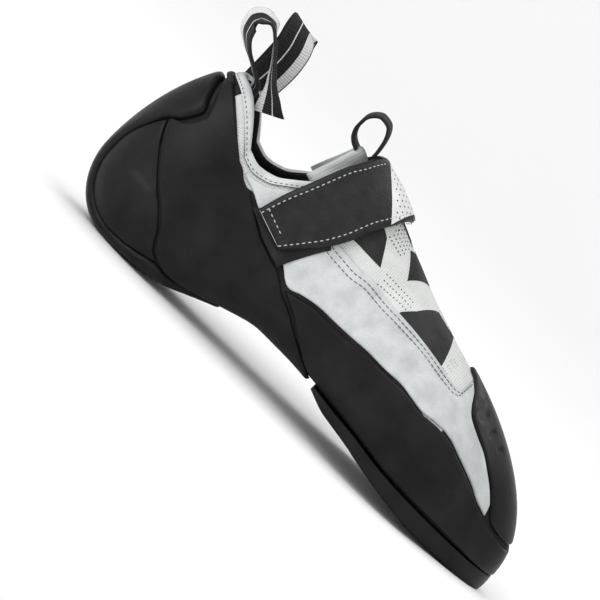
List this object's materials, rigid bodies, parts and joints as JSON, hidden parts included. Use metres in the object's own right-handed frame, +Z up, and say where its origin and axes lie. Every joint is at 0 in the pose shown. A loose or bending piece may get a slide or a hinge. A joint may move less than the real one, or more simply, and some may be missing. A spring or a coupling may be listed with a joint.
{
  "type": "climbing shoe",
  "caption": "Right climbing shoe with a downturned last, rubber toe and heel, a leather quarter, a strap over the instep and webbing pull loops.",
  "frame": {"origin": "The middle of the heel's flat spot, on the plane that the shoe stands on.", "axes": "+X runs along the shoe towards the toe, +Z is up, +Y is towards the inner side of the foot. The strap's free end is on the -Y side."},
  "size_m": [0.248, 0.0904, 0.1239],
  "materials": {
    "textile": "matt woven off-white",
    "leather": "fine grained pale grey",
    "rubber": "satin black",
    "lining": "matt black",
    "strap_leather": "satin black",
    "webbing": "matt black webbing"
  },
  "bodies": {
    "root": {"upper": "textile", "insole": "lining", "outsole": "rubber", "heel_tread": "rubber", "arch_band": "rubber", "heel_cup_lateral": "rubber", "heel_cup_medial": "rubber", "sling_lateral": "rubber", "sling_medial": "rubber", "rand": "rubber", "toe_patch": "rubber", "quarter_lateral": "leather", "quarter_medial": "leather", "tongue": "textile", "strap": "strap_leather", "closure_patch": "lining", "collar_binding": "leather", "heel_band": "webbing", "pull_loop_front": "webbing", "pull_loop_near": "webbing", "pull_loop_far": "webbing"}
  },
  "joints": []
}
